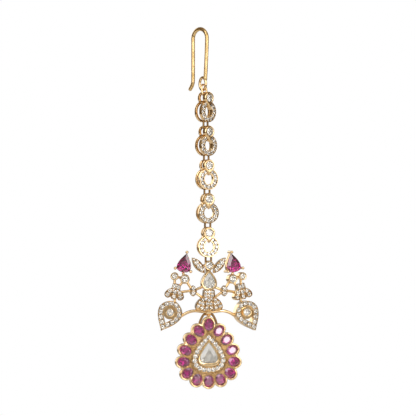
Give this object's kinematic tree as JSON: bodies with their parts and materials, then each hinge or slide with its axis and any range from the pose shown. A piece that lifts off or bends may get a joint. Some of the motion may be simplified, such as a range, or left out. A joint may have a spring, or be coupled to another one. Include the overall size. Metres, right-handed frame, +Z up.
{
  "type": "maang tikka",
  "caption": "Gold hair jewel that hangs from a hook on a pave link chain, with an openwork centre piece and a swinging ruby-ringed drop",
  "frame": {"origin": "inside of the hook's bend, where the jewel hangs", "axes": "+Z up along the hanging chain, the stones' faces towards -Y, +X to the wearer's left as seen from the front"},
  "size_m": [0.0305, 0.0086, 0.1086],
  "materials": {
    "gold": "high polish yellow gold",
    "diamond": "faceted, clear",
    "ruby": "faceted, transparent pink red"
  },
  "bodies": {
    "main": {"hook": "gold", "hook_ring": "gold", "link_1": "gold", "link_2": "gold", "link_3": "gold", "link_4": "gold", "link_5": "gold", "link_stone_1": "diamond", "link_stone_2": "diamond", "link_stone_3": "diamond", "link_stone_4": "diamond", "link_stone_5": "diamond", "link_ring_1": "gold", "link_ring_2": "gold", "link_ring_3": "gold", "link_ring_4": "gold", "link_ring_5": "gold", "centre_frame": "gold", "centre_round_stone": "diamond", "centre_pear_stone": "diamond", "wing_ruby_left": "ruby", "wing_ruby_right": "ruby", "wing_inner_stone_left": "diamond", "wing_inner_stone_right": "diamond", "wing_outer_stone_left": "diamond", "wing_outer_stone_right": "diamond", "wing_tail_stone_left": "diamond", "wing_tail_stone_right": "diamond"},
    "drop": {"drop_frame": "gold", "drop_ruby_01": "ruby", "drop_ruby_02": "ruby", "drop_ruby_03": "ruby", "drop_ruby_04": "ruby", "drop_ruby_05": "ruby", "drop_ruby_06": "ruby", "drop_ruby_07": "ruby", "drop_ruby_08": "ruby", "drop_ruby_09": "ruby", "drop_ruby_10": "ruby", "drop_ruby_11": "ruby", "drop_ruby_12": "ruby", "drop_ruby_13": "ruby", "drop_ruby_14": "ruby", "drop_stone": "diamond"}
  },
  "joints": [
    {"name": "drop_swing", "type": "hinge", "parent": "main", "child": "drop", "pos_m": [0.00234, -0.00141, -0.08442], "axis": [1, 0, 0], "range_deg": [-50, 50]}
  ]
}
